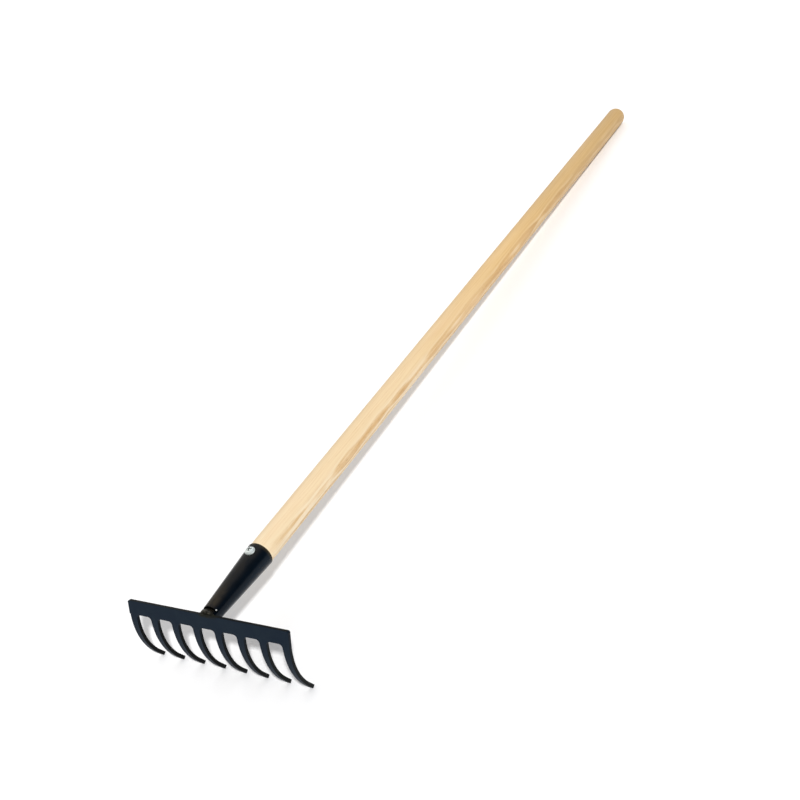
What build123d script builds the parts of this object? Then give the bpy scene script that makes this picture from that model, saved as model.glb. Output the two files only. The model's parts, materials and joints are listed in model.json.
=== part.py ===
from build123d import *
from math import asin, atan, atan2, cos, degrees, hypot, radians, sin, tan
import os

# A garden rake: a blanked and bent steel head, a rolled steel socket welded to its back, and a turned
# ash handle wedged into the socket and held by one wood screw.
#
# Millimetres. The pieces are drawn in the tool frame: +Y runs along the handle's axis from the head
# to the free end, +X runs along the bar of the head, +Z is up and the teeth point down. Y = 0 is at
# the bar's top front edge. At the end they are all turned and shifted together into the rest frame,
# where the tips of the teeth and the free end of the handle stand on Z = 0, and the origin is under
# the middle of the whole tool.

os.makedirs("parts", exist_ok=True)

# ---- Head: one plate, blanked flat with its teeth, then bent ------------------------------------
tooth_count = 8
tooth_pitch = 27.0              # centre to centre
tooth_root_width = 8.6          # at the bar
tooth_tip_width = 3.9
plate_thickness = 4.0
bar_height = 15.0
bar_left_overhang = 1.0         # the bar's end past the outer side of the first tooth, in a step
step_radius = 0.5               # in the corner of that step
bar_top_above_axis = 6.3        # the bar's top front edge over the handle's axis
bar_lean = 17.3                 # degrees: the bar's top leans back, towards the handle
bend_start = 0.8                # the plate stays flat this far below the gaps' upper ends
bend_radius = 73.7              # front face of the teeth
bend_angle = 48.9               # degrees
tip_straight = 8.9              # unbent end of each tooth
root_fillet = 4.0               # in the corners of the gaps between the teeth
bar_corner_radius = 2.0
plate_edge_radius = 0.4         # softened edge of the blanked plate

# ---- Socket: sheet rolled to a cone, its edges meeting in a seam underneath ----------------------
socket_length = 89.8            # from the square-cut foot to the mouth
socket_mouth_diameter = 29.6    # outside
socket_foot_diameter = 19.7     # outside
socket_wall = 1.2               # measured across the axis
foot_setback = 9.6              # from Y = 0 back to the square-cut upper part of the foot
foot_step_height = 3.6          # below this height the wall runs on to the bar
seam_gap = 0.8
socket_edge_radius = 0.35       # at the mouth

# ---- Welds that join the socket's foot to the back of the bar ------------------------------------
weld_side_radius = 2.8          # of the beads between the foot's sides and the bar
weld_bridge_radius = 3.2        # of the bead laid across the open foot, behind the bar's top edge
weld_bridge_height = 3.4        # of that bead's middle over the handle's axis
weld_bridge_end = 6.0           # where it stops, right of the handle's axis
weld_clearance = 0.02           # between the beads and the socket's wall

# ---- Handle: turned ash ---------------------------------------------------------------------------
handle_diameter = 28.0
handle_length = 1200.0
tenon_depth = 76.0              # the length inside the socket
tenon_clearance = 0.12          # between the tapered end and the socket's wall
tenon_chamfer = 1.0
handle_end_radius = 11.0        # rounding of the free end

# ---- Screw: pan head, cross recess ------------------------------------------------------------------
screw_from_mouth = 12.0         # the screw's axis below the socket's mouth
screw_head_diameter = 11.0
screw_head_height = 3.8
screw_head_skirt = 1.0          # straight side of the head below its dome
recess_turn = 20.0              # degrees: one arm of the cross from the bar's direction
screw_shank_diameter = 5.0
screw_length = 22.0             # under the head
screw_point_length = 5.0
recess_width = 5.4              # across the cross
recess_slot = 1.2               # width of one arm
recess_depth = 2.2
socket_hole_clearance = 0.3     # round the shank, in the socket
pilot_clearance = 0.08          # round the shank, in the wood

# ---- Worked out from the sizes above -----------------------------------------------------------------
lean = radians(bar_lean)
bend = radians(bend_angle)
mouth_y = foot_setback + socket_length
handle_radius = handle_diameter / 2
handle_end_y = mouth_y - tenon_depth + handle_length
cone_slope = (socket_mouth_diameter - socket_foot_diameter) / 2 / socket_length
teeth_half_width = (tooth_count - 1) / 2 * tooth_pitch + tooth_root_width / 2
tooth_drop = bend_start + bend_radius * sin(bend) + tip_straight * cos(bend)   # along the bar's face
tooth_reach = bend_radius * (1 - cos(bend)) + tip_straight * sin(bend)   # square to the bar's face

# Planes on the bar: for the plate's section, for its face, and on its back (where y runs down).
bar_up = Vector(0, sin(lean), cos(lean))
bar_back = Vector(0, cos(lean), -sin(lean))
bar_top_edge = Vector(0, 0, bar_top_above_axis)
section_plane = Plane(origin=bar_top_edge, x_dir=bar_back, z_dir=(1, 0, 0))
face_plane = Plane(origin=bar_top_edge, x_dir=(1, 0, 0), z_dir=bar_back * -1)
back_plane = Plane(origin=bar_top_edge + bar_back * plate_thickness, x_dir=(1, 0, 0), z_dir=bar_back)


def cone_radius(y):
    """Outside radius of the socket at Y."""
    return socket_foot_diameter / 2 + cone_slope * (y - foot_setback)


def tooth_centres():
    return [(i - (tooth_count - 1) / 2) * tooth_pitch for i in range(tooth_count)]


def tooth_half_width(drop):
    """Half the width of a tooth, as far below the bar as drop, along the bar's face."""
    share = drop / tooth_drop
    return (tooth_root_width + (tooth_tip_width - tooth_root_width) * share) / 2


def plate_section():
    """The bent plate's section: along the section plane's x is towards the handle, y is up the bar."""
    flat = bar_height + bend_start
    front_start = (0, -flat)

    def on_bend(radius, angle):
        return (bend_radius - radius * cos(angle), -flat - radius * sin(angle))

    inner = bend_radius - plate_thickness
    front_end = on_bend(bend_radius, bend)
    back_end = on_bend(inner, bend)
    straight = (tip_straight * sin(bend), -tip_straight * cos(bend))
    front_tip = (front_end[0] + straight[0], front_end[1] + straight[1])
    back_tip = (back_end[0] + straight[0], back_end[1] + straight[1])
    outline = [
        Line((0, 0), front_start),
        ThreePointArc(front_start, on_bend(bend_radius, bend / 2), front_end),
        Polyline(front_end, front_tip, back_tip, back_end),
        ThreePointArc(back_end, on_bend(inner, bend / 2), (plate_thickness, -flat)),
        Polyline((plate_thickness, -flat), (plate_thickness, 0), (0, 0)),
    ]
    return make_face(outline)


def tooth_side(centre, side, drop):
    """A point on the side of a tooth, drop below the bar along its face. side is 1 for right."""
    return (centre + side * tooth_half_width(drop), -bar_height - drop)


def gap_outline(centre, next_centre):
    """The cut between two teeth, rounded at its upper corners and open at the tips."""
    past_tip = tooth_drop + plate_thickness
    corners = [
        tooth_side(centre, 1, 0),
        tooth_side(next_centre, -1, 0),
        tooth_side(next_centre, -1, past_tip),
        tooth_side(centre, 1, past_tip),
    ]
    face = make_face(Polyline(*corners, close=True))
    return fillet(face.vertices().group_by(Axis.Y)[-1], root_fillet)


def end_outline(centre, side, start, step_radius):
    """The cut outside the first or last tooth, from start below the bar's lower edge."""
    past_tip = tooth_drop + plate_thickness
    outer_x = centre + side * tooth_pitch
    inner_top = tooth_side(centre, side, start)
    corners = [
        inner_top,
        tooth_side(centre, side, past_tip),
        (outer_x, -bar_height - past_tip),
        (outer_x, inner_top[1]),
    ]
    face = make_face(Polyline(*corners, close=True))
    if step_radius > 0:
        at_step = face.vertices().group_by(Axis.Y)[-1].sort_by(Axis.X)[0 if side > 0 else -1]
        face = fillet(at_step, step_radius)
    return face


def runs_along(edge, direction):
    """Whether an edge is a straight line in that direction, either way."""
    return edge.geom_type == GeomType.LINE and abs(edge.tangent_at(0.5).dot(direction)) > 0.999


def sharp_outline(plate):
    """The edges of the plate's two skins, without the lines where the bend begins and ends."""
    flat = bar_height + bend_start
    bend_ends = [flat, *(flat + r * sin(bend) for r in (bend_radius, bend_radius - plate_thickness))]
    edges = []
    for edge in plate.edges():
        drop = -section_plane.to_local_coords(edge.center()).Y
        at_bend_end = min(abs(drop - end) for end in bend_ends) < 1e-3
        on_bend_line = at_bend_end and runs_along(edge, Vector(1, 0, 0))
        if not runs_along(edge, bar_back) and not on_bend_line:
            edges.append(edge)
    return edges


def make_head():
    centres = tooth_centres()
    left = -teeth_half_width - bar_left_overhang
    right = tooth_side(centres[-1], 1, -bar_height)[0]
    plate = extrude(section_plane.offset(left) * plate_section(), amount=right - left)
    outlines = [gap_outline(here, after) for here, after in zip(centres, centres[1:])]
    outlines.append(end_outline(centres[0], -1, 0, step_radius))
    outlines.append(end_outline(centres[-1], 1, -bar_height - plate_thickness, 0))
    for outline in outlines:
        plate -= extrude(face_plane * outline, amount=tooth_reach + 2 * plate_thickness, both=True)
    across = [e for e in plate.edges().filter_by(GeomType.LINE) if runs_along(e, bar_back)]
    top_corners = [e for e in across if section_plane.to_local_coords(e.center()).Y > -bar_height / 4]
    plate = fillet(top_corners, bar_corner_radius)
    return fillet(sharp_outline(plate), plate_edge_radius)


# ---- Socket ----------------------------------------------------------------------------------------

# Sketches of turned pieces: x is out from the handle's axis, y is along it.
turning_plane = Plane(origin=(0, 0, 0), x_dir=(1, 0, 0), z_dir=(0, 0, -1))


def turned(points):
    """A solid turned about the handle's axis from an outline of (radius, Y) points."""
    outline = [(radius, -y) for radius, y in points]
    face = make_face(Polyline(*outline, close=True))
    return revolve(turning_plane * face, Axis.Y)


def in_front_of(plane):
    """A block with one face on the plane, on the side the plane's normal points away from."""
    size = 4 * socket_mouth_diameter
    return plane * Pos(0, 0, -size / 2) * Box(size, size, size)


def cone_between(start, end, outer_offset, inner_offset=None):
    """The socket's cone, or a shell of it, from one Y to another. Offsets are from its outside."""
    points = [(cone_radius(start) + outer_offset, start), (cone_radius(end) + outer_offset, end)]
    if inner_offset is None:
        points += [(0, end), (0, start)]
    else:
        points += [(cone_radius(end) + inner_offset, end), (cone_radius(start) + inner_offset, start)]
    return turned(points)


def socket_wall_solid(growth=0):
    """The rolled wall. Its foot is seated on the bar's back, but its upper part is cut off square,
    short of the bar. Growth makes the wall that much thicker on each side."""
    in_bar = -2 * plate_thickness
    wall = cone_between(in_bar, mouth_y, growth, -socket_wall - growth) - in_front_of(back_plane)
    width = 2 * socket_mouth_diameter
    open_foot = Box(width, foot_setback - in_bar, width, align=(Align.CENTER, Align.MAX, Align.MIN))
    return wall - Pos(0, foot_setback, foot_step_height + growth) * open_foot


def make_socket():
    wall = socket_wall_solid()
    wall = fillet(wall.edges().filter_by(GeomType.CIRCLE).group_by(Axis.Y)[-1], socket_edge_radius)
    width = 2 * socket_mouth_diameter
    wall -= Box(seam_gap, 2 * mouth_y, width, align=(Align.CENTER, Align.CENTER, Align.MAX))
    hole = Cylinder(screw_shank_diameter / 2 + socket_hole_clearance, width)
    return wall - screw_place * hole


# ---- Welds ------------------------------------------------------------------------------------------

def make_welds():
    """A bead down each side of the socket's foot, and one laid across its open upper part."""
    axis_to_top = bar_top_above_axis / cos(lean) - plate_thickness * tan(lean)
    axis_y = plate_thickness * cos(lean) - axis_to_top * sin(lean)
    foot_radius = cone_radius(axis_y)
    upright = Rot(X=90) * Cylinder(weld_side_radius, bar_height - 2 * plate_edge_radius)
    cone = cone_between(-2 * plate_thickness, 2 * foot_setback, weld_clearance)
    beads = [
        back_plane * Pos(side * foot_radius, bar_height / 2) * upright - in_front_of(back_plane) - cone
        for side in (-1, 1)
    ]
    start = weld_clearance + socket_wall / 2 - foot_radius
    across = Rot(Y=90) * Cylinder(
        weld_bridge_radius, weld_bridge_end - start, align=(Align.CENTER, Align.CENTER, Align.MIN)
    )
    across = Pos(start, foot_setback - weld_bridge_radius, weld_bridge_height) * across
    beads.append(across - in_front_of(back_plane) - socket_wall_solid(weld_clearance))
    return Compound([solid for bead in beads for solid in bead.solids()])


# ---- Handle ------------------------------------------------------------------------------------------

def make_handle():
    tenon_y = mouth_y - tenon_depth
    play = socket_wall + tenon_clearance
    tenon_radius = cone_radius(tenon_y) - play
    taper_end_y = mouth_y + (handle_radius + play - cone_radius(mouth_y)) / cone_slope
    rounded_y = handle_end_y - handle_end_radius
    flat_radius = handle_radius - handle_end_radius
    middle = (
        flat_radius + handle_end_radius * sin(radians(45)),
        rounded_y + handle_end_radius * cos(radians(45)),
    )
    profile = [
        Polyline(
            (0, handle_end_y),
            (0, tenon_y),
            (tenon_radius - tenon_chamfer, tenon_y),
            (tenon_radius, tenon_y + tenon_chamfer),
            (handle_radius, taper_end_y),
            (handle_radius, rounded_y),
        ),
        ThreePointArc((handle_radius, rounded_y), middle, (flat_radius, handle_end_y)),
        Line((flat_radius, handle_end_y), (0, handle_end_y)),
    ]
    blank = revolve(make_face(profile), Axis.Y)
    pilot = Cylinder(screw_shank_diameter / 2 + pilot_clearance, 2 * screw_length)
    return blank - screw_place * pilot


# ---- Screw --------------------------------------------------------------------------------------------

def make_screw():
    """Drawn with its axis along Z and the underside of its head on Z = 0. The thread is left out."""
    radius = screw_head_diameter / 2
    shank = screw_shank_diameter / 2
    dome_height = screw_head_height - screw_head_skirt
    dome_radius = (radius**2 + dome_height**2) / (2 * dome_height)
    half_way = atan2(radius, dome_radius - dome_height) / 2
    on_dome = (dome_radius * sin(half_way), screw_head_height - dome_radius * (1 - cos(half_way)))
    profile = [
        Polyline(
            (0, screw_head_height),
            (0, -screw_length),
            (shank, screw_point_length - screw_length),
            (shank, 0),
            (radius, 0),
            (radius, screw_head_skirt),
        ),
        ThreePointArc((radius, screw_head_skirt), on_dome, (0, screw_head_height)),
    ]
    screw = revolve(Plane.XZ * make_face(profile), Axis.Z)
    arm = Box(recess_width, recess_slot, recess_depth, align=(Align.CENTER, Align.CENTER, Align.MAX))
    recess = Pos(0, 0, screw_head_height) * (arm + Rot(Z=90) * arm)
    return screw_place * (screw - Rot(Z=recess_turn) * recess)


# ---- Rest frame ----------------------------------------------------------------------------------------

def rest_slope():
    """Angle between the handle's axis and the floor, when the tips and the handle's end stand on it."""
    rounding = plate_edge_radius
    tip_centre = (
        bar_top_edge
        + bar_back * (tooth_reach + rounding * (cos(bend) - sin(bend)))
        - bar_up * (bar_height + tooth_drop - rounding * (cos(bend) + sin(bend)))
    )
    end_y = handle_end_y - handle_end_radius - tip_centre.Y
    end_z = -(handle_radius - handle_end_radius) - tip_centre.Z
    return atan2(end_z, end_y) - asin((handle_end_radius - rounding) / hypot(end_y, end_z))


def place_at_rest(pieces):
    """Turns the tool on to its tips and its handle's end, and centres it over the origin."""
    turn = Rot(X=-degrees(rest_slope()))
    boxes = [(turn * piece).bounding_box() for piece in pieces.values()]
    low = [min(getattr(box.min, axis) for box in boxes) for axis in "XYZ"]
    high = [max(getattr(box.max, axis) for box in boxes) for axis in "XYZ"]
    to_rest = Pos(-(low[0] + high[0]) / 2, -(low[1] + high[1]) / 2, -low[2]) * turn
    return {name: to_rest * piece for name, piece in pieces.items()}, to_rest


# The screw goes in square to the top of the socket.
screw_y = mouth_y - screw_from_mouth
screw_place = Plane(
    origin=(0, screw_y, cone_radius(screw_y)),
    x_dir=(1, 0, 0),
    z_dir=(0, -sin(atan(cone_slope)), cos(atan(cone_slope))),
).location

pieces, to_rest = place_at_rest({
    "rake_head": make_head(),
    "socket": make_socket(),
    "welds": make_welds(),
    "handle": make_handle(),
    "screw": make_screw(),
})
for name, piece in pieces.items():
    print(name, len(piece.solids()), round(piece.volume), piece.is_valid)
    export_step(piece, f"parts/{name}.step")
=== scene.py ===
"""A long-handled garden rake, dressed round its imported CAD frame.

The CAD nodes keep their shapes and get their real finishes: baked blue-black paint on the head, gloss
black paint on the socket, turned ash on the handle and zinc on the screw. The plain weld solids are
replaced by rippled beads. Everything is in metres, in the frame's own axes.
"""
import json
from math import asin, cos, radians, sin

import bpy
from mathutils import Matrix, Quaternion, Vector


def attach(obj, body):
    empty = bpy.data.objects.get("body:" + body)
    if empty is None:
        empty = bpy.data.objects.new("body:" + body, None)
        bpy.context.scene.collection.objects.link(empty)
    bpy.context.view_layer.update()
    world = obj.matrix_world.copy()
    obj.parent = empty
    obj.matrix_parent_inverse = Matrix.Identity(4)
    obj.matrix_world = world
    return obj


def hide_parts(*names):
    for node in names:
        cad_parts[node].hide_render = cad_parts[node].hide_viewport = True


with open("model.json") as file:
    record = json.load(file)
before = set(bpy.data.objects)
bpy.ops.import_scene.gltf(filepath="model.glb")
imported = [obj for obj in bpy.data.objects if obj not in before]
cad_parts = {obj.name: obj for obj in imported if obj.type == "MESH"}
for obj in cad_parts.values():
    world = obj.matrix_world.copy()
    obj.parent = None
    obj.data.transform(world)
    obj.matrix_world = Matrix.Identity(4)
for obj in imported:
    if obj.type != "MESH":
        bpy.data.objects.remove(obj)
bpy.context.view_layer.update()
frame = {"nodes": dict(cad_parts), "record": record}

MM = 0.001

# ---- Sizes shared with the CAD model, in millimetres -----------------------------------------------
SOCKET_LENGTH = 89.8            # from the square-cut foot to the mouth
FOOT_SETBACK = 9.6              # from the bar's top front edge back to the square-cut foot
SOCKET_MOUTH = FOOT_SETBACK + SOCKET_LENGTH
FOOT_DIAMETER = 19.7
PLATE_THICKNESS = 4.0
BAR_HEIGHT = 15.0
BAR_LEAN = 17.3                 # degrees
BAR_TOP_ABOVE_AXIS = 6.3
BRIDGE_HEIGHT = 3.4             # of the bead across the open foot, over the handle's axis
SCREW_FROM_MOUTH = 12.0
SCREW_HEAD_TOP = 17.9           # over the handle's axis

# ---- The tool's own frame: Y along the handle's axis, Z up the tool, Y = 0 at the bar's top edge ----
grip = next(mount for mount in frame["record"]["mounts"] if mount["name"] == "handle_grip")
handle_axis = Vector(grip["axis"])
handle_slope = -asin(handle_axis.z)
on_axis = Vector(grip["pos_m"])


def along_handle(node):
    """Lowest and highest distance of a CAD node along the handle's axis, from the grip's middle."""
    reach = [(vertex.co - on_axis).dot(handle_axis) for vertex in frame["nodes"][node].data.vertices]
    return min(reach), max(reach)


mouth = along_handle("socket")[1]
tool_origin = on_axis + handle_axis * (mouth - SOCKET_MOUTH * MM)
tool_frame = Matrix.Translation(tool_origin) @ Matrix.Rotation(-handle_slope, 4, "X")
handle_reach = along_handle("handle")
handle_far = (on_axis + handle_axis * handle_reach[1] - tool_origin).length

# ---- Colours and nodes ---------------------------------------------------------------------------------


def srgb(code):
    """A linear colour from an sRGB hex code such as "f2d9ae"."""
    channels = [int(code[i:i + 2], 16) / 255 for i in (0, 2, 4)]
    linear = [c / 12.92 if c <= 0.04045 else ((c + 0.055) / 1.055) ** 2.4 for c in channels]
    return (*linear, 1.0)


def add_node(tree, kind, inputs=None, **settings):
    """Adds a node. An input given another node's output is linked to it; any other is set to its value."""
    node = tree.nodes.new(kind)
    for name, value in settings.items():
        setattr(node, name, value)
    for key, value in (inputs or {}).items():
        if isinstance(value, bpy.types.NodeSocket):
            tree.links.new(value, node.inputs[key])
        else:
            node.inputs[key].default_value = value
    return node


def new_material(name):
    """An empty node material with its shader, and the Object coordinates of what wears it."""
    material = bpy.data.materials.new(name)
    material.use_nodes = True
    tree = material.node_tree
    tree.nodes.clear()
    shader = add_node(tree, "ShaderNodeBsdfPrincipled")
    add_node(tree, "ShaderNodeOutputMaterial", {"Surface": shader.outputs["BSDF"]})
    place = add_node(tree, "ShaderNodeTexCoord").outputs["Object"]
    return material, tree, shader, place


def tool_coordinates(tree, place):
    """Object coordinates turned into the tool's own frame, so that Y runs along the grain."""
    return add_node(
        tree, "ShaderNodeMapping",
        {"Vector": place, "Location": tool_origin, "Rotation": (-handle_slope, 0, 0)},
        vector_type="TEXTURE",
    ).outputs["Vector"]


def noise(tree, place, size_mm, detail=2.0, roughness=0.5):
    """Noise with features of the given size in millimetres, along X, Y and Z."""
    scale = tuple(1 / (size * MM) for size in size_mm)
    stretched = add_node(tree, "ShaderNodeMapping", {"Vector": place, "Scale": scale})
    return add_node(
        tree, "ShaderNodeTexNoise",
        {"Vector": stretched.outputs["Vector"], "Scale": 1.0, "Detail": detail, "Roughness": roughness},
    ).outputs["Fac"]


def math(tree, operation, first, second=0.0):
    """The result of one sum on two values."""
    return add_node(tree, "ShaderNodeMath", {0: first, 1: second}, operation=operation).outputs[0]


def fade(tree, value, start, end):
    """0 where value is start, 1 where it is end, and smooth between."""
    return add_node(
        tree, "ShaderNodeMapRange",
        {"Value": value, "From Min": start, "From Max": end},
        interpolation_type="SMOOTHSTEP",
    ).outputs["Result"]


def blend(tree, amount, first, second):
    """The first colour where amount is 0, the second where it is 1, and a mixture between."""
    return add_node(
        tree, "ShaderNodeMix", {"Factor": amount, 6: first, 7: second}, data_type="RGBA").outputs[2]


def bump(tree, height, depth_mm):
    """Raises a surface by up to depth_mm where height is 1."""
    inputs = {"Height": height, "Distance": depth_mm * MM, "Strength": 1.0}
    return add_node(tree, "ShaderNodeBump", inputs).outputs["Normal"]


# ---- Materials -------------------------------------------------------------------------------------------

ASH_PALE = ("f1ddba", "e1be86", "c4a26d")       # at the socket, half way along and at the free end
ASH_LINES = ("d8b079", "c5965b", "a17a47")


def along_ramp(tree, share, codes):
    """Runs through evenly spaced colours as share goes from 0 to 1."""
    node = add_node(tree, "ShaderNodeValToRGB", {"Fac": share})
    stops = node.color_ramp.elements
    while len(stops) < len(codes):
        stops.new(0.5)
    for i, code in enumerate(codes):
        stops[i].position = i / (len(codes) - 1)
        stops[i].color = srgb(code)
    return node.outputs["Color"]


def turned_ash():
    """Ash, turned round, sanded and thinly lacquered. Ring-porous: each year starts with a band of
    open pores that reads as a tan line, and the rest is pale, dense latewood with a soft sheen."""
    ring_width = 2.1            # mm, one year's growth
    pith = (-118.8, -22.0)      # mm, the tree's middle, across and over the handle's axis
    material, tree, shader, place = new_material("turned_ash")
    place = tool_coordinates(tree, place)
    across, along, up = add_node(tree, "ShaderNodeSeparateXYZ", {"Vector": place}).outputs

    # Years are shells round the pith. Slow waves along the stave push them out and in, so where it was
    # sawn flat along them they surface as a row of long islands.
    wander = math(tree, "MULTIPLY", noise(tree, place, (90, 420, 90), detail=1.0), 2.4 * MM)
    waves = math(tree, "MULTIPLY", noise(tree, place, (30, 96, 30), detail=1.0), 4.6 * MM)
    waver = math(tree, "ADD", waves, math(tree, "MULTIPLY", noise(tree, place, (3, 70, 3)), 1.1 * MM))
    from_pith = add_node(tree, "ShaderNodeCombineXYZ", {
        0: math(tree, "SUBTRACT", across, pith[0] * MM),
        1: 0.0,
        2: math(tree, "SUBTRACT", up, pith[1] * MM),
    }).outputs[0]
    radius = add_node(
        tree, "ShaderNodeVectorMath", {0: from_pith}, operation="LENGTH").outputs["Value"]
    years = math(tree, "ADD", math(tree, "ADD", radius, wander), waver)
    years = math(tree, "DIVIDE", years, ring_width * MM)
    season = math(tree, "FRACT", years)
    early = add_node(tree, "ShaderNodeValToRGB", {"Fac": season})
    ramp = early.color_ramp
    ramp.elements[0].position = 0.0
    ramp.elements[0].color = (0.8, 0.8, 0.8, 1)
    ramp.elements[1].position = 0.66
    ramp.elements[1].color = (0.0, 0.0, 0.0, 1)
    for position, value in ((0.12, 1.0), (0.34, 0.7), (0.84, 0.12), (1.0, 0.8)):
        ramp.elements.new(position).color = (value, value, value, 1)
    early = early.outputs["Color"]

    # Some years grew strong and some weak, and the figure is broad and plain to see only on the side
    # that was sawn flat along the rings. It sets in a little above the socket and grows faint towards
    # the free end.
    strength = noise(tree, place, (7, 260, 7), detail=2.0)
    early = math(tree, "MULTIPLY", early, fade(tree, strength, 0.27, 0.6))
    flat_side = fade(tree, up, 9.5 * MM, 5.0 * MM)
    flat_side = math(tree, "MULTIPLY", flat_side, fade(tree, along, 1.5, 0.3))
    past_socket = fade(tree, along, SOCKET_MOUTH * MM, (SOCKET_MOUTH + 55.0) * MM)
    flat_side = math(tree, "MULTIPLY", flat_side, past_socket)
    shown = math(tree, "ADD", math(tree, "MULTIPLY", flat_side, 0.78), 0.22)
    early = math(tree, "MULTIPLY", early, shown)
    late = math(tree, "MULTIPLY", fade(tree, early, 0.3, 0.0), flat_side)

    # Fibres are finer than this on the real stave; these are as coarse as they need to be to show.
    fibre = noise(tree, place, (1.1, 60, 1.1), detail=4.0, roughness=0.65)
    pores = fade(tree, noise(tree, place, (0.45, 7, 0.45), detail=1.0), 0.58, 0.7)
    pores = math(tree, "MULTIPLY", pores, early)
    cloud = noise(tree, place, (26, 190, 26), detail=2.0)

    # Paler by the socket, darker and tanner towards the free end.
    share = math(tree, "DIVIDE", along, handle_far)
    share = math(tree, "ADD", share, math(tree, "MULTIPLY", math(tree, "SUBTRACT", cloud, 0.5), 0.25))
    darker_towards_end = fade(tree, share, -0.1, 1.25)
    pale = along_ramp(tree, darker_towards_end, ASH_PALE)
    tan = along_ramp(tree, darker_towards_end, ASH_LINES)
    colour = blend(tree, early, pale, tan)
    colour = blend(tree, math(tree, "MULTIPLY", late, 0.3), colour, srgb("f8ecd6"))
    colour = blend(tree, math(tree, "MULTIPLY", fade(tree, fibre, 0.42, 0.72), 0.26), colour, tan)
    rosy = fade(tree, noise(tree, place, (15, 110, 15), detail=2.0), 0.5, 0.75)
    colour = blend(tree, math(tree, "MULTIPLY", rosy, 0.16), colour, srgb("e8c39a"))
    colour = blend(tree, math(tree, "MULTIPLY", pores, 0.55), colour, srgb("9b7143"))
    tree.links.new(colour, shader.inputs["Base Color"])
    rough = add_node(tree, "ShaderNodeMapRange", {"Value": fibre, "To Min": 0.42, "To Max": 0.6})
    tree.links.new(rough.outputs["Result"], shader.inputs["Roughness"])
    shader.inputs["IOR"].default_value = 1.45
    grain = math(tree, "ADD", fibre, math(tree, "MULTIPLY", pores, -1.5))
    tree.links.new(bump(tree, grain, 0.05), shader.inputs["Normal"])
    return material


def sprayed_paint(name, colour, roughness, tint, ior):
    """Baked spray enamel on steel: slight orange peel, and a roughness that clouds from place to place."""
    orange_peel = 0.012         # mm, crest to hollow
    material, tree, shader, place = new_material(name)
    cloud = noise(tree, place, (14, 14, 14), detail=3.0)
    speck = noise(tree, place, (0.9, 0.9, 0.9), detail=2.0)
    colour = blend(tree, fade(tree, cloud, 0.35, 0.7), srgb(colour), srgb(tint))
    tree.links.new(colour, shader.inputs["Base Color"])
    rough = add_node(
        tree, "ShaderNodeMapRange",
        {"Value": cloud, "To Min": roughness - 0.06, "To Max": roughness + 0.06},
    )
    tree.links.new(rough.outputs["Result"], shader.inputs["Roughness"])
    shader.inputs["IOR"].default_value = ior
    tree.links.new(bump(tree, speck, orange_peel), shader.inputs["Normal"])
    return material, tree, shader, place


def head_enamel():
    """Blue-black satin enamel, baked on blanked steel plate: soft reflections, a slate cast. Painted shade
    makes it nearly black on the bar's top and bottom faces and on the teeth's sides, more so towards the
    tips, and it is burnt brown by the weld's heat where the bead laps the bar's top edge."""
    material, tree, shader, place = sprayed_paint(
        "satin_blue_black_enamel", "14202d", 0.46, "18242f", ior=1.16)
    facing = add_node(tree, "ShaderNodeTexCoord").outputs["Normal"]

    def square_to(direction, start, end):
        """1 where the surface faces squarely along a direction of the tool's frame, either way."""
        direction = tool_frame.to_3x3() @ Vector(direction)
        share = add_node(
            tree, "ShaderNodeVectorMath", {0: facing, 1: direction}, operation="DOT_PRODUCT",
        ).outputs["Value"]
        return fade(tree, math(tree, "ABSOLUTE", share), start, end)

    place = tool_coordinates(tree, place)
    across, along, up = add_node(tree, "ShaderNodeSeparateXYZ", {"Vector": place}).outputs
    lean = radians(BAR_LEAN)
    # Painted shade: the bar's top and bottom faces and the teeth's sides go near black, the sides more so
    # low down.
    bar_top_shade = square_to((0, sin(lean), cos(lean)), 0.88, 0.96)
    tooth_side_shade = square_to((1, 0, 0), 0.5, 0.85)
    shade_towards_tips = math(tree, "ADD", math(tree, "MULTIPLY", fade(tree, up, -8.0 * MM, -26.0 * MM), 0.45), 0.55)
    painted_face_shade = math(tree, "MAXIMUM", bar_top_shade, math(tree, "MULTIPLY", tooth_side_shade, shade_towards_tips))
    painted = shader.inputs["Base Color"].links[0].from_socket
    colour = blend(tree, painted_face_shade, painted, srgb("050707"))

    # The scorch spreads both ways from the bead and fades below the bar's top edge.
    scorch = math(tree, "ABSOLUTE", math(tree, "SUBTRACT", across, 3.0 * MM))
    scorch = fade(tree, scorch, 13.0 * MM, 6.0 * MM)
    scorch = math(tree, "MULTIPLY", scorch, fade(tree, up, 3.2 * MM, 5.6 * MM))
    scorch = math(tree, "MULTIPLY", scorch, fade(tree, noise(tree, place, (4, 4, 4), detail=3.0), 0.2, 0.5))
    tree.links.new(blend(tree, scorch, colour, srgb("1c1c14")), shader.inputs["Base Color"])
    return material


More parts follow.
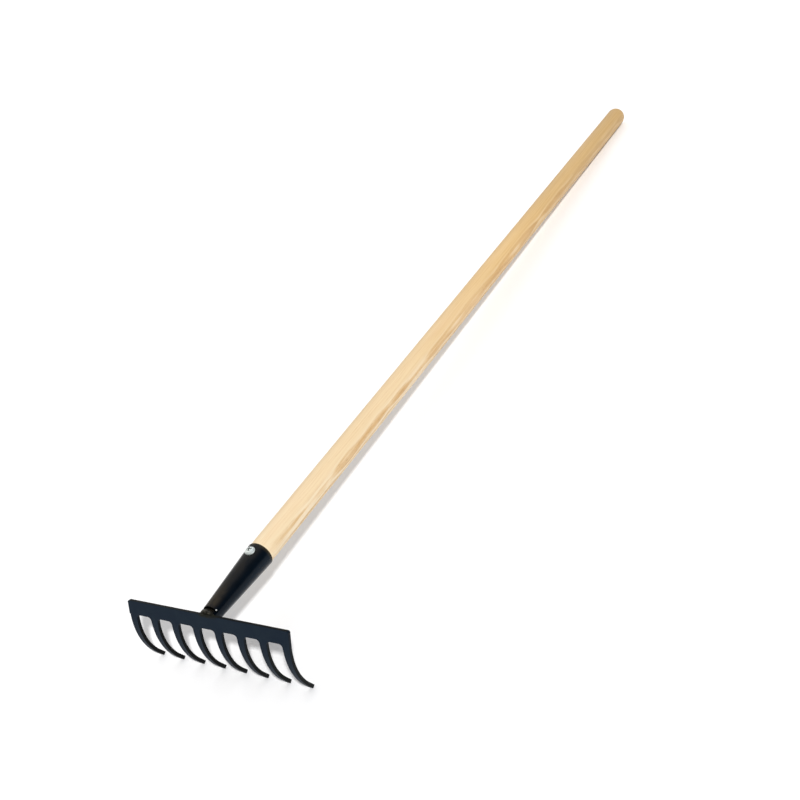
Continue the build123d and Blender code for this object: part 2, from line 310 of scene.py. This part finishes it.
def socket_enamel():
    """Gloss black enamel on rolled sheet, with a dark face. A painted reflection turns it brown on the upper
    left of the tube, most of all by the foot, and blue on the lower right. A painted glint is a white spot
    at the foot's cut edge, and the mouth's edge is browner in patches."""
    glint_place = Vector((7.4, FOOT_SETBACK, 5.8)) * MM
    material, tree, shader, place = sprayed_paint("gloss_black_enamel", "030a12", 0.22, "040c15", ior=1.21)
    place = tool_coordinates(tree, place)
    across, along, up = add_node(tree, "ShaderNodeSeparateXYZ", {"Vector": place}).outputs

    # Side runs round the tube, from a painted brown reflection upper left to a painted blue one lower right.
    side = math(tree, "SUBTRACT", math(tree, "MULTIPLY", across, 0.74), math(tree, "MULTIPLY", up, 0.67))
    painted = shader.inputs["Base Color"].links[0].from_socket
    painted_blue_reflection = fade(tree, side, 3.0 * MM, 11.0 * MM)
    colour = blend(tree, painted_blue_reflection, painted, srgb("011320"))
    patches = fade(tree, noise(tree, place, (7, 14, 7), detail=3.0), 0.2, 0.6)
    # Painted reflection: brown patches on the upper left, strongest towards the foot.
    painted_warm_reflection = math(tree, "MULTIPLY", fade(tree, side, 2.5 * MM, -5.5 * MM), patches)
    near_weld = math(tree, "ADD", math(tree, "MULTIPLY", fade(tree, along, 50 * MM, 10 * MM), 0.7), 0.3)
    painted_warm_reflection = math(tree, "MULTIPLY", painted_warm_reflection, near_weld)
    colour = blend(tree, painted_warm_reflection, colour, srgb("302a20"))
    # Browner in patches over the last 5 mm before the mouth.
    mouth_edge = fade(tree, along, (SOCKET_MOUTH - 5.0) * MM, SOCKET_MOUTH * MM)
    colour = blend(tree, math(tree, "MULTIPLY", mouth_edge, patches), colour, srgb("332d20"))
    # Painted glint: a white spot on the foot's cut edge.
    from_glint = add_node(
        tree, "ShaderNodeVectorMath", {0: place, 1: glint_place}, operation="DISTANCE",
    ).outputs["Value"]
    painted_glint = fade(tree, from_glint, 1.1 * MM, 0.6 * MM)
    tree.links.new(blend(tree, painted_glint, colour, srgb("f0f0ec")), shader.inputs["Base Color"])
    return material


def weld_metal():
    """A weld bead under thin black paint: brown-grey where the ripples' crests show through."""
    material, tree, shader, place = sprayed_paint("painted_weld_bead", "1a1913", 0.32, "29271e", ior=1.5)
    crests = fade(tree, noise(tree, place, (2.2, 2.2, 2.2), detail=3.0), 0.46, 0.72)
    painted = shader.inputs["Base Color"].links[0].from_socket
    tree.links.new(blend(tree, crests, painted, srgb("57534a")), shader.inputs["Base Color"])
    shader.inputs["Metallic"].default_value = 0.35
    return material


def zinc_plate():
    """Bright zinc plating on a pressed screw: white metal under a milky, faintly green passivation, with
    painted shade in the cross recess."""
    material, tree, shader, place = new_material("bright_zinc_plate")
    cloud = noise(tree, place, (3, 3, 3), detail=3.0)
    colour = blend(tree, cloud, srgb("dfe9e4"), srgb("f4faf7"))
    middle = (0.0, SOCKET_MOUTH - SCREW_FROM_MOUTH, SCREW_HEAD_TOP)
    from_top = add_node(
        tree, "ShaderNodeVectorMath",
        {0: tool_coordinates(tree, place), 1: Vector(middle) * MM}, operation="SUBTRACT",
    ).outputs["Vector"]
    across, along, up = add_node(tree, "ShaderNodeSeparateXYZ", {"Vector": from_top}).outputs
    off_axis = math(tree, "SQRT", math(
        tree, "ADD", math(tree, "MULTIPLY", across, across), math(tree, "MULTIPLY", along, along)))
    # Painted shade: the cross recess goes dark and less metallic.
    painted_recess_shade = math(
        tree, "MULTIPLY", fade(tree, off_axis, 3.2 * MM, 2.4 * MM), fade(tree, up, -0.35 * MM, -0.6 * MM))
    colour = blend(tree, painted_recess_shade, colour, srgb("16191a"))
    tree.links.new(colour, shader.inputs["Base Color"])
    metallic = math(tree, "MULTIPLY", math(tree, "SUBTRACT", 1.0, painted_recess_shade), 0.55)
    tree.links.new(metallic, shader.inputs["Metallic"])
    rough = add_node(tree, "ShaderNodeMapRange", {"Value": cloud, "To Min": 0.22, "To Max": 0.36})
    tree.links.new(rough.outputs["Result"], shader.inputs["Roughness"])
    fine = noise(tree, place, (0.5, 0.5, 0.5), detail=2.0)
    tree.links.new(bump(tree, fine, 0.006), shader.inputs["Normal"])
    return material


def dress(piece, material):
    """Gives a piece its one material."""
    piece.data.materials.clear()
    piece.data.materials.append(material)


for node, material in (
    ("rake_head", head_enamel()),
    ("socket", socket_enamel()),
    ("handle", turned_ash()),
    ("screw", zinc_plate()),
):
    dress(frame["nodes"][node], material)


# ---- Weld beads: ripples along a path, by Geometry Nodes ------------------------------------------------

BEAD_RINGS = 160                # along each bead
BEAD_SIDES = 40                 # round each bead


def ripple_nodes():
    """A node tree that turns a path, in millimetres, into a weld bead: a round bead, thinner at both
    ends, whose skin has the crescent ripples that each pulse of the torch leaves."""
    tree = bpy.data.node_groups.new("weld_ripples", "GeometryNodeTree")
    sockets = {}
    for name, kind, default in (
        ("Path", "NodeSocketGeometry", None),
        ("Bead Radius", "NodeSocketFloat", 2.8),
        ("Taper", "NodeSocketFloat", 1.9),
        ("Ripple Pitch", "NodeSocketFloat", 1.5),
        ("Ripple Depth", "NodeSocketFloat", 0.28),
        ("Seed", "NodeSocketInt", 7),
        ("Crown", "NodeSocketVector", (0.0, 1.0, 0.0)),
        ("Finish", "NodeSocketMaterial", None),
    ):
        item = tree.interface.new_socket(name, in_out="INPUT", socket_type=kind)
        if default is not None:
            item.default_value = default
        sockets[name] = item.identifier
    tree.interface.new_socket("Bead", in_out="OUTPUT", socket_type="NodeSocketGeometry")
    given = add_node(tree, "NodeGroupInput").outputs

    path = add_node(tree, "GeometryNodeMeshToCurve", {"Mesh": given["Path"]}).outputs["Curve"]
    path = add_node(
        tree, "GeometryNodeResampleCurve", {"Curve": path, "Count": BEAD_RINGS}).outputs["Curve"]
    length = add_node(tree, "GeometryNodeSplineLength").outputs["Length"]
    along = add_node(tree, "GeometryNodeSplineParameter").outputs["Length"]
    to_end = math(tree, "MINIMUM", along, math(tree, "SUBTRACT", length, along))
    blunt = -0.5                # mm, how far past each end the taper would come to a point
    ends = fade(tree, to_end, blunt, given["Taper"])
    wobble = add_node(
        tree, "ShaderNodeTexNoise", {"W": given["Seed"], "Scale": 0.32, "Detail": 1.0},
        noise_dimensions="4D",
    ).outputs["Fac"]
    swell = math(tree, "ADD", math(tree, "MULTIPLY", wobble, 0.6), 0.7)
    radius = math(tree, "MULTIPLY", math(tree, "MULTIPLY", given["Bead Radius"], swell), ends)
    kept = add_node(
        tree, "GeometryNodeCaptureAttribute", {"Geometry": path}, domain="POINT")
    kept.capture_items.new("FLOAT", "Along")
    kept.capture_items.new("VECTOR", "Middle")
    tree.links.new(along, kept.inputs["Along"])
    tree.links.new(add_node(tree, "GeometryNodeInputPosition").outputs[0], kept.inputs["Middle"])
    path = kept.outputs["Geometry"]
    ring = add_node(
        tree, "GeometryNodeCurvePrimitiveCircle", {"Resolution": BEAD_SIDES, "Radius": 1.0}).outputs["Curve"]
    bead = add_node(
        tree, "GeometryNodeCurveToMesh",
        {"Curve": path, "Profile Curve": ring, "Scale": radius, "Fill Caps": True})

    # Each ripple lags behind at the sides of the bead, so it bows along the path like a crescent.
    place = add_node(tree, "GeometryNodeInputPosition").outputs[0]
    outward = add_node(
        tree, "ShaderNodeVectorMath", {0: place, 1: kept.outputs["Middle"]}, operation="SUBTRACT",
    ).outputs["Vector"]
    outward = add_node(
        tree, "ShaderNodeVectorMath", {0: outward}, operation="NORMALIZE").outputs["Vector"]
    crown = add_node(
        tree, "ShaderNodeVectorMath", {0: outward, 1: given["Crown"]}, operation="DOT_PRODUCT",
    ).outputs["Value"]
    lag = math(tree, "MULTIPLY", math(tree, "SUBTRACT", 1.0, crown), given["Bead Radius"])
    jitter = math(tree, "MULTIPLY", wobble, 1.6)
    phase = math(tree, "ADD", math(tree, "SUBTRACT", kept.outputs["Along"], lag), jitter)
    phase = math(tree, "FRACT", math(tree, "DIVIDE", phase, given["Ripple Pitch"]))
    hill = math(tree, "MULTIPLY", phase, math(tree, "SUBTRACT", 1.0, phase))
    lift = math(tree, "SUBTRACT", math(tree, "MULTIPLY", hill, 4.0), 0.7)
    lift = math(tree, "MULTIPLY", lift, given["Ripple Depth"])
    offset = add_node(
        tree, "ShaderNodeVectorMath", {0: outward, "Scale": lift}, operation="SCALE").outputs["Vector"]
    shape = add_node(
        tree, "GeometryNodeSetPosition", {"Geometry": bead.outputs["Mesh"], "Offset": offset},
    ).outputs["Geometry"]
    shape = add_node(
        tree, "GeometryNodeSetShadeSmooth", {"Geometry": shape}).outputs["Geometry"]
    shape = add_node(
        tree, "GeometryNodeRealizeInstances", {"Geometry": shape}).outputs["Geometry"]
    shape = add_node(
        tree, "GeometryNodeSetMaterial", {"Geometry": shape, "Material": given["Finish"]},
    ).outputs["Geometry"]
    add_node(tree, "NodeGroupOutput", {0: shape})
    return tree, sockets


def ripple_bead(name, path, radius, taper, crown, seed):
    """A bead along a path of points, in millimetres in the tool's frame, as a plain mesh in metres."""
    mesh = bpy.data.meshes.new(name + "_path")
    mesh.from_pydata(path, [(i, i + 1) for i in range(len(path) - 1)], [])
    carrier = bpy.data.objects.new(name, mesh)
    bpy.context.scene.collection.objects.link(carrier)
    modifier = carrier.modifiers.new("ripples", "NODES")
    modifier.node_group = RIPPLES
    for socket, value in (
        ("Bead Radius", radius), ("Taper", taper), ("Crown", crown), ("Seed", seed),
        ("Finish", WELD_FINISH),
    ):
        modifier[RIPPLE_SOCKETS[socket]] = value
    evaluated = carrier.evaluated_get(bpy.context.evaluated_depsgraph_get())
    bead = bpy.data.meshes.new_from_object(evaluated)
    carrier.modifiers.clear()
    carrier.data = bead
    bead.transform(tool_frame @ Matrix.Scale(MM, 4))
    return carrier


def weld_paths():
    """Where the beads run: down each side of the socket's foot on the bar's back, and one from the bar's
    top edge, left of the foot, across its open upper part. Each bead has its name, its points, its
    radius, the length over which its ends taper, and the way its crown faces."""
    lean = radians(BAR_LEAN)
    bar_up = Vector((0, sin(lean), cos(lean)))
    bar_back = Vector((0, cos(lean), -sin(lean)))
    back_top = Vector((0, 0, BAR_TOP_ABOVE_AXIS)) + bar_back * PLATE_THICKNESS
    foot_radius = FOOT_DIAMETER / 2
    paths = []
    for name, side in (("left", -1), ("right", 1)):
        x = side * (foot_radius + 0.5)
        points = [
            back_top + Vector((x + side * 0.7 * sin(2.4 * share), 0, 0)) - bar_up * BAR_HEIGHT * share
            for share in (0.12, 0.3, 0.5, 0.75, 0.96)
        ]
        crown = bar_back + Vector((side * 0.7, 0, 0))
        paths.append(("weld_side_" + name, points, 2.7, 1.9, crown))
    points = [
        Vector((x, FOOT_SETBACK - in_front, BRIDGE_HEIGHT + over))
        for x, in_front, over in (
            (-foot_radius - 3.6, 5.4, 0.4),
            (-foot_radius + 0.2, 4.8, -0.6),
            (-5.9, 3.4, 0.8),
            (-1.0, 3.6, 1.4),
            (4.0, 4.3, 0.6),
            (foot_radius - 0.8, 5.2, -0.6),
        )
    ]
    paths.append(("weld_bridge", points, 3.2, 11.0, Vector((0, -0.3, 1))))
    return paths


WELD_FINISH = weld_metal()
RIPPLES, RIPPLE_SOCKETS = ripple_nodes()
for seed, (name, points, radius, taper, crown) in enumerate(weld_paths(), start=3):
    bead = ripple_bead(name, points, radius, taper, crown.normalized(), seed)
    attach(bead, "root")
    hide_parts("welds")


# ---- Stage: floor, light, camera ---------------------------------------------------------------------

CAMERA_PLACE = Vector((0.75742, -1.20137, 0.86700))
CAMERA_TARGET = Vector((0.00342, -0.20202, 0.04))
CAMERA_ROLL = 18.020            # degrees, the camera's top leans right
CAMERA_LENS = 55.945            # mm, on a 36 mm sensor
WINDOW_WAY = Vector((-0.5, 0.4, 0.77))      # from the tool towards the window
FLOOR_REACH = 30.0              # metres from the middle to each edge


def make_floor():
    """A plain white floor under the tooth tips and the handle's end."""
    corners = [(x * FLOOR_REACH, y * FLOOR_REACH, 0.0) for x, y in ((-1, -1), (1, -1), (1, 1), (-1, 1))]
    mesh = bpy.data.meshes.new("studio_floor")
    mesh.from_pydata(corners, [], [(0, 1, 2, 3)])
    floor = bpy.data.objects.new("studio_floor", mesh)
    bpy.context.scene.collection.objects.link(floor)
    material, _, shader, _ = new_material("matt_white_floor")
    shader.inputs["Base Color"].default_value = srgb("fcfcfc")
    shader.inputs["Roughness"].default_value = 1.0
    shader.inputs["Specular IOR Level"].default_value = 0.0
    dress(floor, material)


def make_camera():
    """The camera stands before the head, on its right, and looks down along the handle."""
    data = bpy.data.cameras.new("camera")
    data.lens = CAMERA_LENS
    data.sensor_width = 36.0
    data.clip_end = 100.0
    camera = bpy.data.objects.new("camera", data)
    bpy.context.scene.collection.objects.link(camera)
    aim = (CAMERA_TARGET - CAMERA_PLACE).to_track_quat("-Z", "Y")
    camera.rotation_mode = "QUATERNION"
    camera.rotation_quaternion = aim @ Quaternion((0, 0, 1), -radians(CAMERA_ROLL))
    camera.location = CAMERA_PLACE
    bpy.context.scene.camera = camera
    return camera


def make_light(camera):
    """A small soft key over the camera, and a dim room with one broad window of light up and behind, to
    the left. The window gives the floor its white, the wood its bright side and the metal its sheen."""
    axes = camera.rotation_quaternion.to_matrix()
    right, top, back = axes.col[0], axes.col[1], axes.col[2]
    data = bpy.data.lights.new("key", "SUN")
    data.energy = 2.45
    data.angle = radians(4)
    key = bpy.data.objects.new("key", data)
    key.rotation_mode = "QUATERNION"
    key.rotation_quaternion = (back + top * 0.3 + right * 0.08).to_track_quat("Z", "Y")
    key.visible_glossy = False
    bpy.context.scene.collection.objects.link(key)

    world = bpy.data.worlds.new("studio")
    world.use_nodes = True
    bpy.context.scene.world = world
    tree = world.node_tree
    tree.nodes.clear()
    way = add_node(tree, "ShaderNodeTexCoord").outputs["Generated"]

    def facing(direction):
        return add_node(
            tree, "ShaderNodeVectorMath", {0: way, 1: direction.normalized()}, operation="DOT_PRODUCT",
        ).outputs["Value"]

    window = fade(tree, facing(WINDOW_WAY), 0.42, 0.9)
    glow = fade(tree, facing(Vector((0, 0, 1))), -0.1, 0.9)
    brightness = math(tree, "ADD", math(tree, "MULTIPLY", window, 0.8), math(tree, "MULTIPLY", glow, 0.16))
    brightness = math(tree, "ADD", brightness, 0.12)
    tone = blend(tree, fade(tree, facing(right), -0.6, 0.6), srgb("fffdfa"), srgb("eef3ff"))

    # The room lights the tool like this, but past the floor's edge it is seen as one plain white wall.
    seen = add_node(tree, "ShaderNodeLightPath").outputs["Is Camera Ray"]
    tone = blend(tree, seen, tone, srgb("ffffff"))
    brightness = math(tree, "MAXIMUM", brightness, seen)
    background = add_node(tree, "ShaderNodeBackground", {"Color": tone, "Strength": brightness})
    add_node(tree, "ShaderNodeOutputWorld", {"Surface": background.outputs["Background"]})
    bpy.context.scene.view_settings.view_transform = "Standard"


make_floor()
camera = make_camera()
make_light(camera)
